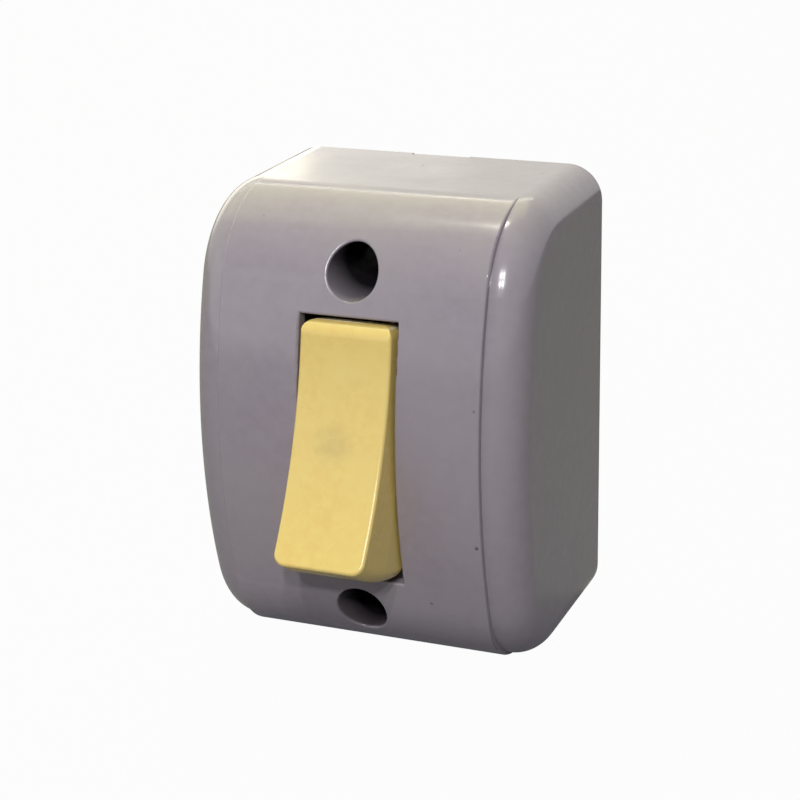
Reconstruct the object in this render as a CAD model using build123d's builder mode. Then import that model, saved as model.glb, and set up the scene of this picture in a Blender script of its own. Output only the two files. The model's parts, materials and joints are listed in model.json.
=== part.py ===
# Surface mounted light switch: a one-piece housing, a rocker, and the two-way mechanism behind it.
# Millimetres. X runs across, Y runs back to the wall, Z is up. The origin is the middle of the back.
# Depths are distances in front of the wall, so a depth d lies at Y = -d.
import os
from math import cos, pi, radians, sin, sqrt, tan

from build123d import *

os.makedirs("parts", exist_ok=True)

# Housing
housing_width = 50.0
housing_height = 68.3
cheek_depth = 38.1  # wall to the front of the two outer cheeks, at mid height
band_step = 1.1  # the middle band stands this far in front of the cheeks
band_width = 39.3
step_rounding = 0.3
rim_rounding = 0.3  # round the rocker's opening and the screw holes
front_radius = 81.5  # the front's bow, seen from the side
corner_radius = 15.0  # where the front turns into the top and the bottom
edge_radius = 5.2  # where the cheeks turn into the flat sides
wall = 2.0

# Screw tubes, from the front to the wall
end_margin = 3.86  # each tube to the top or the bottom of the housing
hole_radius = 3.75
tube_wall = 1.3
tube_web = 0.8  # what is left of the front between the rocker's opening and a tube
screw_seat = 3.0  # thickness of the floor that a wall screw's head pulls on
wall_screw_radius = 2.1
pillar_length = 9.0  # slimmer end of each tube, towards the wall
pillar_radius = 3.4

# Cable knock-outs, in the back edge of the top and the bottom wall
knockout_width = 9.0
knockout_length = 8.0
knockout_skin = 0.8
nick_length = 1.0  # groove outside, where the knock-out starts to break
nick_depth = 0.12

# Rocker, measured from its pivot
rocker_width = 14.1
rocker_rise = 6.27  # pivot to the hollow of the front face
rocker_edge = 8.87  # pivot to the front edge of each end, before it is rounded
end_radius = 35.0  # bow of the two end faces
rocker_skirt = 6.3  # pivot to the back edge of the sides
front_rounding = 2.0
heel_rounding = 3.0
corner_rounding = 1.8
long_edge_rounding = 0.45
rocker_draft = 2.2  # degrees, on the part in front of the pivot
rocker_wall = 1.8
rocker_tilt = 21.6  # degrees, each side of the middle
side_gap = 0.3  # rocker to opening, and rocker to cheeks
swing_gap = 0.3  # sweep of the rocker's ends to the opening

# Pin and hub
pin_radius = 0.9
pin_running_gap = 0.05
pin_keeper_gap = 0.1  # pin to the back of the housing's front wall
pin_seat = 1.2  # how far each end of the pin goes into its cheek
pin_end_gap = 0.1
hub_radius = 2.1
rib = 1.2
rocker_rib = 4.0
rocker_rib_place = 9.0  # pivot to each rib

# Spring and its two seats
spring_wire_radius = 0.25
spring_radius = 1.75  # to the middle of the wire
spring_turns = 7
points_per_turn = 10
end_winding = 0.55  # how much closer the end turns are wound, as a share of the pitch
spring_seat_gap = 0.05
spring_seat = 2.7  # pivot to the seat on the hub
spigot_radius = 1.2
spigot_length = 1.2

# Contact bar, measured from the line that it tips on
pivot_to_fulcrum = 15.7
bar_tilt = 9.5  # degrees, each side of the middle
bar_thickness = 0.8
bar_arm_width = 5.0
bar_end = 1.9  # bar beyond the middle of the rivet
ear_height = 1.5
ear_length = 4.4
prong_gap = 5.8  # between the two prongs, and between the two ears
nib_radius = 1.2
nib_height = 0.9

# Contact rivets
rivet_radius = 1.6
rivet_head = 0.8
rivet_dome = 6.0
rivet_shank = 0.8
rivet_tail_radius = 1.2
rivet_tail = 0.4
rivet_gap = 0.02
contact_gap = 0.1  # between closed contacts

# Terminals, clamps and their screws
strip = 0.8
prong_tip = 0.6
prong_width = 3.6
fulcrum_gap = 0.05
terminal_width = 7.0
leg_inset = 2.1  # strip past the middle of a fixed rivet, towards the bar's middle
web_offset = 2.5  # middle of a fixed rivet to the strip's web
clamp_size = 7.2
clamp_thickness = 1.2
clamp_margin = 0.6  # outer clamps to the ends of the base
screw_radius = 1.75
screw_length = 7.0
screw_head_radius = 2.9
screw_head = 2.0
slot_width = 0.8
slot_depth = 1.1
thread_gap = 0.05
clamp_gap = 0.15
slot_gap = 0.15  # round each strip where it goes through the floor
bend_gap = 0.8  # room for a switched terminal's bends in the floor

# Mechanism base
base_wall = 1.8
end_wall = 2.0
end_wall_height = 8.0
floor = 6.0
base_end_gap = 0.4  # base to screw tubes
base_front_gap = 0.1  # base to the back of the front wall
stop_gap = 0.15  # rocker's heel to its stops
stop_width = 2.4
stop_length = 7.0
barrier = 1.2
barrier_height = 4.5
tip_gap = 0.5  # past the end of each screw, in its blind hole

# Ears of the base and the screws that hold it
ear_thickness = 2.5
ear_depth = 25.0  # wall to the back of an ear
ear_reach = 4.2  # cheek to the screw's middle
ear_radius = 3.4
ear_rise = 11.0
boss_radius = 3.0
fixing_radius = 1.4
fixing_length = 8.0
fixing_head_radius = 2.7
fixing_head = 1.9
pilot_gap = 0.05
fixing_hole_gap = 0.2

# Worked out from the above
front_depth = cheek_depth + band_step
tube_radius = hole_radius + tube_wall
screw_rise = housing_height / 2 - end_margin - tube_radius
opening_width = rocker_width + 2 * side_gap
opening_height = 2 * (screw_rise - tube_radius - tube_web)
pivot_depth = front_depth - wall - pin_keeper_gap - pin_radius
fulcrum_depth = pivot_depth - pivot_to_fulcrum

# The rocker is as long as the opening lets its front edges swing past
sweep_radius = opening_height / 2 - swing_gap
bow_rise = end_radius - sqrt(end_radius**2 - rocker_edge**2)
rocker_length = 2 * (sqrt(sweep_radius**2 - rocker_edge**2) + bow_rise)
dish_sag = rocker_edge - rocker_rise
dish_radius = (rocker_length**2 / 4 + dish_sag**2) / (2 * dish_sag)
bow_centre = rocker_length / 2 - end_radius  # of each end face's arc, from the pivot

# The base fits between the tubes, and its terminals line up from its ends inwards
base_half = screw_rise - tube_radius - base_end_gap
cheek_inside = opening_width / 2
cheek_outside = cheek_inside + base_wall
ear_out = cheek_outside + ear_reach
screw_line = base_half - clamp_margin - clamp_size / 2
web_rise = screw_line - clamp_size / 2
contact_rise = web_rise - web_offset

# A closed pair of contacts touches where the tipped rivet's dome lies deepest
tip = radians(bar_tilt)
dome_centre = ear_height - rivet_head + rivet_dome
bar_reach = (contact_rise - dome_centre * sin(tip)) / cos(tip)  # fulcrum to a rivet's middle
contact_depth = fulcrum_depth + dome_centre * cos(tip) - bar_reach * sin(tip) - rivet_dome
floor_depth = contact_depth - contact_gap - rivet_head - strip
plate_depth = floor_depth - floor - strip  # back of the terminals, where the clamps press

# Deepest point of the rocker's heel when its end is pressed in
press = radians(rocker_tilt)
heel_drop = rocker_skirt - heel_rounding
heel_run = bow_centre + sqrt((end_radius - heel_rounding) ** 2 - heel_drop**2)
heel_depth = pivot_depth - heel_drop * cos(press) - heel_run * sin(press) - heel_rounding


def side_outline(inset=0.0, forward=0.0, back=0.0):
    """The housing's side view, moved in by inset and forward, from Y = back to the front."""
    half = housing_height / 2 - inset
    radius = front_radius - inset
    centre = front_radius - cheek_depth - forward
    shoulder = centre - sqrt(radius**2 - half**2)
    with BuildSketch(Plane.YZ) as outline:
        with BuildLine():
            Line((back, half), (shoulder, half))
            ThreePointArc((shoulder, half), (centre - radius, 0), (shoulder, -half))
            Line((shoulder, -half), (back, -half))
            Line((back, -half), (back, half))
        make_face()
        fillet(outline.vertices().group_by(Axis.X)[0], radius=corner_radius - inset)
    return outline.sketch


def side_rims(part):
    """The edges round both flat sides, apart from those at the back."""
    sides = part.faces().filter_by(Axis.X).sort_by(Axis.X)
    return [edge for side in (sides[0], sides[-1]) for edge in side.edges().sort_by(Axis.Y)[:-1]]


def turned_side(depth, tilt):
    """A plane through a turning axis for side views: x runs up the piece, y runs forward."""
    lean = radians(tilt)
    return Plane(origin=(0, -depth, 0), x_dir=(0, sin(lean), cos(lean)), z_dir=(1, 0, 0))


def turned_front(depth, tilt):
    """A plane through a turning axis for front views: x runs across, y up the piece, z forward."""
    lean = radians(tilt)
    return Plane(origin=(0, -depth, 0), x_dir=(1, 0, 0), z_dir=(0, -cos(lean), sin(lean)))


# Hollow of the housing, with what stands in it left out: tubes, webs and bosses
screw_places = [(0, screw_rise), (0, -screw_rise)]
ear_places = [(ear_out, ear_rise), (-ear_out, -ear_rise)]
ear_front = ear_depth + ear_thickness
with BuildPart() as cavity:
    extrude(side_outline(wall, back=wall), amount=housing_width / 2 - wall, both=True)
    fillet(side_rims(cavity), radius=edge_radius - wall)
    extrude(side_outline(wall, band_step, back=wall), amount=band_width / 2 - wall, both=True)
    with BuildSketch(Plane.XZ):
        with Locations(*screw_places):
            Circle(pillar_radius)
    extrude(amount=front_depth, mode=Mode.SUBTRACT)
    with BuildSketch(Plane.XZ.offset(pillar_length)):
        with Locations(*screw_places):
            Circle(tube_radius)
        for rise in (screw_rise, -screw_rise):
            with Locations((0, rise + tube_radius * rise / screw_rise)):
                Rectangle(rib, 2 * tube_radius)
    extrude(amount=front_depth, mode=Mode.SUBTRACT)
    with BuildSketch(Plane.XZ.offset(ear_front)):
        with Locations(*screw_places):
            Rectangle(housing_width, rib)
        with Locations(*ear_places):
            Circle(boss_radius)
    extrude(amount=front_depth, mode=Mode.SUBTRACT)

with BuildPart() as band:
    extrude(side_outline(forward=band_step), amount=band_width / 2, both=True)
    fillet(side_rims(band), radius=step_rounding)

with BuildPart() as housing:
    extrude(side_outline(), amount=housing_width / 2, both=True)
    fillet(side_rims(housing), radius=edge_radius)
    add(band.part)
    add(cavity.part, mode=Mode.SUBTRACT)
    # Opening for the rocker
    with BuildSketch(Plane.XZ.offset(ear_front)):
        Rectangle(opening_width, opening_height)
    extrude(amount=front_depth, mode=Mode.SUBTRACT)
    # Deep screw holes, with a seat for each screw's head near the wall
    with BuildSketch(Plane.XZ.offset(pillar_length + screw_seat)):
        with Locations(*screw_places):
            Circle(hole_radius)
    extrude(amount=front_depth, mode=Mode.SUBTRACT)
    with BuildSketch(Plane.XZ):
        with Locations(*screw_places):
            Circle(wall_screw_radius)
    extrude(amount=pillar_length + screw_seat, mode=Mode.SUBTRACT)
    # Rounded rims of the opening and of the screw holes
    curved = housing.faces().filter_by(GeomType.CYLINDER)
    rims = [edge for wire in curved.sort_by(SortBy.AREA)[-1].inner_wires() for edge in wire.edges()]
    for hole in curved.filter_by(lambda face: abs(face.radius - hole_radius) < hole_radius / 1000):
        rims += hole.edges().filter_by(GeomType.BSPLINE)
    fillet(rims, radius=rim_rounding)
    # Pilot holes for the mechanism's screws
    with BuildSketch(Plane.XZ.offset(ear_front)):
        with Locations(*ear_places):
            Circle(fixing_radius + pilot_gap)
    extrude(amount=fixing_length - ear_thickness + tip_gap, mode=Mode.SUBTRACT)
    # Thin places in the top and bottom walls, to be broken out for a cable
    for side in (1, -1):
        with BuildSketch(Plane.XY.offset(side * (housing_height / 2 - knockout_skin))):
            SlotOverall(2 * knockout_length, knockout_width, rotation=90)
        extrude(amount=-side * wall, mode=Mode.SUBTRACT)
        with BuildSketch(Plane.XY.offset(side * housing_height / 2)):
            with Locations((0, -nick_length / 2)):
                Rectangle(knockout_width, nick_length)
        extrude(amount=-side * nick_depth, mode=Mode.SUBTRACT)
housing.part.label = "housing"


rocker_side = turned_side(pivot_depth, rocker_tilt)
rocker_front = turned_front(pivot_depth, rocker_tilt)
rocker_inside = rocker_width - 2 * rocker_wall


def rocker_outline(inset=0.0, skirt=rocker_skirt):
    """The rocker's side view with sharp corners: two bowed ends and a hollowed front."""
    bow = end_radius - inset
    with BuildSketch() as outline:
        with Locations((bow_centre, 0)):
            Circle(bow)
        with Locations((-bow_centre, 0)):
            Circle(bow, mode=Mode.INTERSECT)
        with Locations((0, -skirt)):
            Rectangle(rocker_length, 2 * bow, align=(Align.CENTER, Align.MIN), mode=Mode.INTERSECT)
        with Locations((0, rocker_rise + dish_radius)):
            Circle(dish_radius + inset, mode=Mode.SUBTRACT)
    return outline.sketch


def corner_trim(middle, radius, first, second):
    """What a rounding takes off a corner: all that lies outside an arc between two directions."""
    first, second = Vector(first).normalized(), Vector(second).normalized()
    start, finish = middle + first * radius, middle + second * radius
    with BuildSketch() as trim:
        with BuildLine():
            ThreePointArc(start, middle + (first + second).normalized() * radius, finish)
            Polyline(finish, finish + second * 2 * radius, start + first * 2 * radius, start)
        make_face()
    return trim.sketch


# Middles of the roundings seen from the side. The front one touches the dish and the end's bow
bow_middle, dish_middle = Vector(bow_centre, 0), Vector(0, rocker_rise + dish_radius)
heel_middle = Vector(heel_run, -heel_drop)
to_dish = dish_middle - bow_middle
from_bow = end_radius - front_rounding
share = (from_bow**2 - (dish_radius + front_rounding) ** 2 + to_dish.length**2) / (2 * to_dish.length)
across = Vector(to_dish.Y, -to_dish.X).normalized() * sqrt(from_bow**2 - share**2)
front_middle = bow_middle + to_dish.normalized() * share + across

with BuildPart() as rocker:
    with BuildSketch(rocker_side):
        add(rocker_outline())
    extrude(amount=rocker_width / 2, both=True)
    # In front of the pivot the sides lean in
    reach = rocker_edge + front_rounding
    lean_in = reach * tan(radians(rocker_draft))
    with BuildSketch(Plane(rocker_side.origin, x_dir=(1, 0, 0), z_dir=rocker_side.x_dir * -1)):
        with BuildLine():
            half = rocker_width / 2
            Polyline(
                (0, -rocker_skirt),
                (half, -rocker_skirt),
                (half, 0),
                (half - lean_in, reach),
                (0, reach),
            )
            mirror(about=Plane.YZ)
        make_face()
    extrude(amount=rocker_length, both=True, mode=Mode.INTERSECT)
    # Upright corners, then the rim of the front, then the roundings seen from the side
    length_axis = Axis(rocker_side.origin, rocker_side.x_dir)
    for end in (1, -1):
        near, far = sorted((end * rocker_rib_place, end * rocker_length))
        fillet(
            rocker.edges().filter_by(Axis.X, reverse=True).filter_by_position(length_axis, near, far),
            radius=corner_rounding,
        )
    dish = rocker.faces().filter_by(GeomType.CYLINDER).sort_by(SortBy.AREA)[-1]
    fillet(dish.outer_wire().edges(), radius=long_edge_rounding)
    with BuildSketch(rocker_side):
        add(corner_trim(front_middle, front_rounding, dish_middle - front_middle, front_middle - bow_middle))
        add(corner_trim(heel_middle, heel_rounding, heel_middle - bow_middle, (0, -1)))
        mirror(about=Plane.YZ)
    extrude(amount=rocker_width, both=True, mode=Mode.SUBTRACT)
    # Hollow, open at the back
    with BuildSketch(rocker_side):
        add(rocker_outline(rocker_wall, rocker_skirt + rocker_wall))
    extrude(amount=rocker_inside / 2, both=True, mode=Mode.SUBTRACT)
    # Hub across the hollow, with the web and ribs that stiffen the front
    with BuildSketch(rocker_side):
        Circle(hub_radius)
        Rectangle(rib, rocker_rise - rocker_wall / 2, align=(Align.CENTER, Align.MIN))
        with Locations((rocker_rib_place, rocker_rise), (-rocker_rib_place, rocker_rise)):
            Rectangle(rib, rocker_rib, align=(Align.CENTER, Align.MAX))
    extrude(amount=rocker_inside / 2, both=True)
    # Spring seat on the hub, and the spigot that keeps the spring on it
    with BuildSketch(rocker_front.offset(-spring_seat)):
        Circle(spring_radius + 2 * spring_wire_radius)
    extrude(amount=spring_seat)
    with BuildSketch(rocker_front.offset(-spring_seat)):
        Circle(spigot_radius)
    extrude(amount=-spigot_length)
    with BuildSketch(rocker_side):
        Circle(pin_radius + pin_running_gap)
    extrude(amount=rocker_width, both=True, mode=Mode.SUBTRACT)
rocker.part.label = "rocker"

with BuildPart() as rocker_pin:
    with BuildSketch(rocker_side):
        Circle(pin_radius)
    extrude(amount=cheek_inside + pin_seat - pin_end_gap, both=True)
    chamfer(rocker_pin.edges(), length=pin_end_gap)
rocker_pin.part.label = "rocker_pin"

# Contact bar: a strip with two ears that sit on the prongs of the common terminal
bar_side = turned_side(fulcrum_depth, bar_tilt)
bar_front = turned_front(fulcrum_depth, bar_tilt)
prong_middle = (prong_gap + strip) / 2
rivet_rises = (bar_reach, -bar_reach)
with BuildPart() as contact_bar:
    with BuildSketch(bar_front.offset(ear_height)) as bar_view:
        Rectangle(bar_arm_width, 2 * (bar_reach + bar_end))
        fillet(bar_view.vertices(), radius=bar_end / 2)
        Rectangle(prong_gap + 2 * strip, ear_length)
    extrude(amount=bar_thickness)
    for side in (1, -1):
        with BuildSketch(bar_side.offset(side * prong_middle)):
            Rectangle(ear_length, ear_height, align=(Align.CENTER, Align.MIN))
            Circle(prong_tip + fulcrum_gap, mode=Mode.SUBTRACT)
        extrude(amount=strip / 2, both=True)
    with BuildSketch(bar_front.offset(ear_height + bar_thickness)):
        Circle(nib_radius)
    extrude(amount=nib_height)
    fillet(contact_bar.faces().sort_by(Axis(bar_front.origin, bar_front.z_dir))[-1].edges(), nib_radius / 2)
    with BuildSketch(bar_front.offset(ear_height)):
        with Locations(*[(0, rise) for rise in rivet_rises]):
            Circle(rivet_shank + rivet_gap)
    extrude(amount=bar_thickness, mode=Mode.SUBTRACT)
contact_bar.part.label = "contact_bar"


def contact_rivet(face, thickness, domed):
    """A rivet with its contact head on the given plane and its closed tail behind the strip."""
    with BuildPart() as rivet:
        with BuildSketch(face):
            Circle(rivet_radius)
        extrude(amount=rivet_head)
        if domed:
            with Locations(face.offset(rivet_head - rivet_dome)):
                Sphere(rivet_dome, mode=Mode.INTERSECT)
        with BuildSketch(face):
            Circle(rivet_shank)
        extrude(amount=-thickness)
        with BuildSketch(face.offset(-thickness)):
            Circle(rivet_tail_radius)
        extrude(amount=-rivet_tail)
    return rivet


def along(depth, rise, way):
    """A plane across the depth direction, whose normal points to the front (-1) or the wall (1)."""
    return Plane(origin=(0, -depth, rise), x_dir=(1, 0, 0), z_dir=(0, way, 0))


ends = {"upper": 1, "lower": -1}
contact_rivets, fixed_rivets = {}, {}
for name, side in ends.items():
    moving_face = Plane(
        origin=bar_front.from_local_coords((0, side * bar_reach, ear_height)),
        x_dir=(1, 0, 0),
        z_dir=bar_front.z_dir * -1,
    )
    contact_rivets[name] = contact_rivet(moving_face, bar_thickness, domed=True)
    fixed_rivets[name] = contact_rivet(along(floor_depth + strip, side * contact_rise, -1), strip, domed=False)
    contact_rivets[name].part.label = f"contact_rivet_{name}"
    fixed_rivets[name].part.label = f"fixed_rivet_{name}"

# Spring: a coil along a bent line between its two seats, closer wound at both ends
coil_gap = spring_wire_radius + spring_seat_gap
spring_start = rocker_front.from_local_coords((0, 0, -spring_seat - coil_gap))
spring_end = bar_front.from_local_coords((0, 0, ear_height + bar_thickness + coil_gap))
third = (spring_end - spring_start).length / 3
spine = Bezier(
    spring_start,
    spring_start - rocker_front.z_dir * third,
    spring_end + bar_front.z_dir * third,
    spring_end,
)


def coil_point(share):
    """A point of the spring's wire, from 0 at the rocker to 1 at the contact bar."""
    place = share - end_winding * sin(2 * pi * share) / (2 * pi)
    turn = 2 * pi * spring_turns * share
    outward = spine.tangent_at(place).cross(Vector(1, 0, 0))
    return spine.position_at(place) + Vector(spring_radius * cos(turn), 0, 0) + outward * spring_radius * sin(turn)


coil_steps = spring_turns * points_per_turn
with BuildPart() as rocker_spring:
    with BuildLine() as wire:
        Spline(*[coil_point(step / coil_steps) for step in range(coil_steps + 1)])
    with BuildSketch(Plane(origin=wire.line @ 0, z_dir=wire.line % 0)):
        Circle(spring_wire_radius)
    sweep(path=wire.line)
rocker_spring.part.label = "rocker_spring"

# Common terminal: a plate with two prongs bent forward through the floor
common_width = prong_gap + 2 * strip
with BuildPart() as common_terminal:
    with BuildSketch(Plane.XZ.offset(plate_depth)):
        Rectangle(common_width, clamp_size + 2 * strip)
        Circle(screw_radius + thread_gap, mode=Mode.SUBTRACT)
    extrude(amount=strip)
    for side in (1, -1):
        with BuildSketch(Plane.YZ.offset(side * prong_middle)):
            with Locations((-fulcrum_depth, 0)):
                Circle(prong_tip)
                Rectangle(fulcrum_depth - plate_depth, 2 * prong_tip, align=(Align.MIN, Align.CENTER))
            with Locations((-floor_depth, 0)):
                Rectangle(floor_depth - plate_depth, prong_width, align=(Align.MIN, Align.CENTER))
        extrude(amount=strip / 2, both=True)
common_terminal.part.label = "common_terminal"

# Switched terminals: a strip from under the contact rivet, through the floor, to the screw
switched_terminals = {}
for name, side in ends.items():
    with BuildPart() as terminal:
        with BuildSketch(Plane.YZ):
            with BuildLine():
                FilletPolyline(
                    (-floor_depth - strip / 2, side * (contact_rise - leg_inset)),
                    (-floor_depth - strip / 2, side * web_rise),
                    (-plate_depth - strip / 2, side * web_rise),
                    (-plate_depth - strip / 2, side * (web_rise + clamp_size)),
                    radius=strip,
                )
            trace(line_width=strip)
        extrude(amount=terminal_width / 2, both=True)
        with BuildSketch(Plane.XZ):
            with Locations((0, side * contact_rise)):
                Circle(rivet_shank + rivet_gap)
            with Locations((0, side * screw_line)):
                Circle(screw_radius + thread_gap)
        extrude(amount=front_depth, mode=Mode.SUBTRACT)
    terminal.part.label = f"{name}_terminal"
    switched_terminals[name] = terminal

# Clamps and screws, on the wall side of the terminals
clamp_depth = plate_depth - clamp_thickness


def clamp_plate(rise):
    """A square clamp on its terminal, with a clearance hole."""
    with BuildPart() as clamp:
        with BuildSketch(along(plate_depth, rise, 1)):
            Rectangle(clamp_size, clamp_size)
            Circle(screw_radius + clamp_gap, mode=Mode.SUBTRACT)
        extrude(amount=clamp_thickness)
        chamfer(clamp.faces().sort_by(Axis.Y)[-1].outer_wire().edges(), length=clamp_thickness / 3)
    return clamp


def slotted_screw(face, radius, length, head_radius, head):
    """A screw whose head stands on the given plane, with a rounded rim and a straight slot."""
    with BuildPart() as screw:
        with BuildSketch(face):
            Circle(head_radius)
        extrude(amount=head)
        fillet(screw.edges().group_by(Axis.Y)[-1], radius=head / 3)
        with BuildSketch(face.offset(head)):
            Rectangle(slot_width, 2 * head_radius)
        extrude(amount=-slot_depth, mode=Mode.SUBTRACT)
        with BuildSketch(face):
            Circle(radius)
        extrude(amount=-length)
        chamfer(screw.faces().sort_by(Axis.Y)[0].edges(), length=radius / 3)
    return screw


clamps, terminal_screws = {}, {}
for name, rise in {"common": 0, "upper": screw_line, "lower": -screw_line}.items():
    clamps[name] = clamp_plate(rise)
    terminal_screws[name] = slotted_screw(
        along(clamp_depth, rise, 1), screw_radius, screw_length, screw_head_radius, screw_head
    )
    clamps[name].part.label = f"{name}_clamp"
    terminal_screws[name].part.label = f"{name}_screw"

# Mechanism base: two cheeks and two end walls on a thick floor
with BuildPart() as mechanism_base:
    with BuildSketch(Plane.XZ.offset(floor_depth - floor)):
        Rectangle(2 * cheek_outside, 2 * base_half)
    extrude(amount=front_depth)
    # The cheeks' front edges follow the back of the housing's band
    bow = side_outline(wall + base_front_gap, band_step, back=wall)
    extrude(bow, amount=cheek_outside, both=True, mode=Mode.INTERSECT)
    # Room for the rocker between the cheeks, with low end walls
    with BuildSketch(Plane.XZ.offset(floor_depth)):
        Rectangle(2 * cheek_inside, 2 * (base_half - end_wall))
    extrude(amount=front_depth, mode=Mode.SUBTRACT)
    with BuildSketch(Plane.XZ.offset(floor_depth + end_wall_height)):
        Rectangle(2 * cheek_inside, 2 * base_half)
    extrude(amount=front_depth, mode=Mode.SUBTRACT)
    # Stops for the rocker's heels, against the cheeks
    with BuildSketch(Plane.XZ.offset(floor_depth)):
        for across in (1, -1):
            for side in (1, -1):
                with Locations(
                    (across * (cheek_inside - stop_width / 2), side * (base_half - end_wall - stop_length / 2))
                ):
                    Rectangle(stop_width, stop_length)
    extrude(amount=heel_depth - stop_gap - floor_depth)
    # Barriers between the terminals, on the wall side
    with BuildSketch(Plane.XZ.offset(floor_depth - floor)):
        for side in (1, -1):
            with Locations((0, side * (web_rise - strip / 2 + clamp_size / 2 + strip) / 2)):
                Rectangle(2 * cheek_outside, barrier)
    extrude(amount=-barrier_height)
    # Ears, each with a clearance hole for its screw
    with BuildSketch(Plane.XZ.offset(ear_depth)):
        for across, rise in ear_places:
            with Locations((across, rise)):
                Circle(ear_radius)
            with Locations(((across + cheek_outside * across / ear_out) / 2, rise)):
                Rectangle(ear_reach, 2 * ear_radius)
    extrude(amount=ear_thickness)
    with BuildSketch(Plane.XZ.offset(ear_depth)):
        with Locations(*ear_places):
            Circle(fixing_radius + fixing_hole_gap)
    extrude(amount=ear_thickness, mode=Mode.SUBTRACT)
    # Open seats for the ends of the pin, which the housing's front closes
    with BuildSketch(Plane.YZ):
        with Locations((-pivot_depth, 0)):
            Circle(pin_radius)
            Rectangle(front_depth, 2 * pin_radius, align=(Align.MAX, Align.CENTER))
    extrude(amount=cheek_inside + pin_seat, both=True, mode=Mode.SUBTRACT)
    # Ways through the floor for the strips, and room for rivet tails and screw ends
    with BuildSketch(Plane.XZ.offset(floor_depth - floor)):
        with Locations((prong_middle, 0), (-prong_middle, 0)):
            Rectangle(strip + 2 * slot_gap, prong_width + 2 * slot_gap)
        with Locations((0, web_rise), (0, -web_rise)):
            Rectangle(terminal_width + 2 * slot_gap, strip + 2 * bend_gap)
    extrude(amount=floor, mode=Mode.SUBTRACT)
    with BuildSketch(Plane.XZ.offset(floor_depth)):
        with Locations((0, contact_rise), (0, -contact_rise)):
            Circle(rivet_tail_radius + slot_gap)
    extrude(amount=-rivet_tail - slot_gap, mode=Mode.SUBTRACT)
    with BuildSketch(Plane.XZ.offset(floor_depth - floor)):
        with Locations((0, 0), (0, screw_line), (0, -screw_line)):
            Circle(screw_radius + clamp_gap)
    extrude(amount=screw_length - clamp_thickness - strip + tip_gap, mode=Mode.SUBTRACT)
mechanism_base.part.label = "mechanism_base"

fixing_screws = {}
for name, (across, rise) in zip(("right", "left"), ear_places):
    face = Plane(origin=(across, -ear_depth, rise), x_dir=(1, 0, 0), z_dir=(0, 1, 0))
    fixing_screws[name] = slotted_screw(
        face, fixing_radius, fixing_length, fixing_head_radius, fixing_head
    )
    fixing_screws[name].part.label = f"mechanism_screw_{name}"

pieces = [housing, rocker, rocker_pin, rocker_spring, mechanism_base, contact_bar, common_terminal]
for group in (contact_rivets, fixed_rivets, switched_terminals, clamps, terminal_screws, fixing_screws):
    pieces += group.values()
for piece in pieces:
    export_step(piece.part, f"parts/{piece.part.label}.step")
print("opening", opening_width, round(opening_height, 2), "screw spacing", round(2 * screw_rise, 2))
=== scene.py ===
# A surface mounted light switch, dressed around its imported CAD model
import json
from math import cos, pi, radians, sin

import bpy
from mathutils import Matrix, Vector


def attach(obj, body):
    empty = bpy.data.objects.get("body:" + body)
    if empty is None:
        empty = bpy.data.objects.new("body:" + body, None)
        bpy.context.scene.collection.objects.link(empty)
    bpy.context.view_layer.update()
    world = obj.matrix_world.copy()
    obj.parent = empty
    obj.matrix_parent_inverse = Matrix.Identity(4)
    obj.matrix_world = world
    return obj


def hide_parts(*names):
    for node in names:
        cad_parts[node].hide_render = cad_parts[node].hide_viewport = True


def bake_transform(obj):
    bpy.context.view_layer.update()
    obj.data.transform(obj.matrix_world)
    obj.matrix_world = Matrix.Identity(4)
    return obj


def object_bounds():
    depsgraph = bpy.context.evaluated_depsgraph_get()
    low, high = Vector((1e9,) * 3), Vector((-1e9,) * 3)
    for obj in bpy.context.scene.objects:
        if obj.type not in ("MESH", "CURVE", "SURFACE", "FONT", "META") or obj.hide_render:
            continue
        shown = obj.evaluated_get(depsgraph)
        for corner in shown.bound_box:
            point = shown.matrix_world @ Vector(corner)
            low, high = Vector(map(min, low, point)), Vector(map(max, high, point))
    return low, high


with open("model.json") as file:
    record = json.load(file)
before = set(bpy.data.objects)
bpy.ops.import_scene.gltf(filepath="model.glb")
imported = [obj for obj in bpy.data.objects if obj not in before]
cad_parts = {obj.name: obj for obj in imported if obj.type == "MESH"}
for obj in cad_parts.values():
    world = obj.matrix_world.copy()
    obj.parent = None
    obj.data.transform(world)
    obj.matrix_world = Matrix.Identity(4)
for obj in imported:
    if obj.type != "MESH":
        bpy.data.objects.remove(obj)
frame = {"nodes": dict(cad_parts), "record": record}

mm = 0.001
scene = bpy.context.scene
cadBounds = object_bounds()
print("frame loaded:", len(frame["nodes"]), "nodes")


def toLinear(hexColour):
    # sRGB hex to the linear values that Blender's sockets take
    channels = [int(hexColour[i:i + 2], 16) / 255 for i in (1, 3, 5)]
    return [c / 12.92 if c <= 0.04045 else ((c + 0.055) / 1.055) ** 2.4 for c in channels] + [1.0]


def addNode(tree, kind, settings={}, inputs={}):
    # one node, with its settings, and with values or links on its inputs: a link comes from a
    # socket, or from a node's first output in use, and a list of them joins one input
    node = tree.nodes.new(kind)
    for key, value in settings.items():
        setattr(node, key, value)
    for key, value in inputs.items():
        several = isinstance(value, list) and isinstance(value[0], bpy.types.Node)
        for source in value if several else [value]:
            if isinstance(source, bpy.types.Node):
                source = next(socket for socket in source.outputs if socket.enabled)
            if isinstance(source, bpy.types.NodeSocket):
                tree.links.new(source, node.inputs[key])
            else:
                node.inputs[key].default_value = source
    return node


def newMaterial(name):
    material = bpy.data.materials.new(name)
    material.use_nodes = True
    material.node_tree.nodes.clear()
    return material, material.node_tree


noiseLow, noiseHigh = 0.3, 0.7  # where most of a noise texture's values lie

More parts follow.
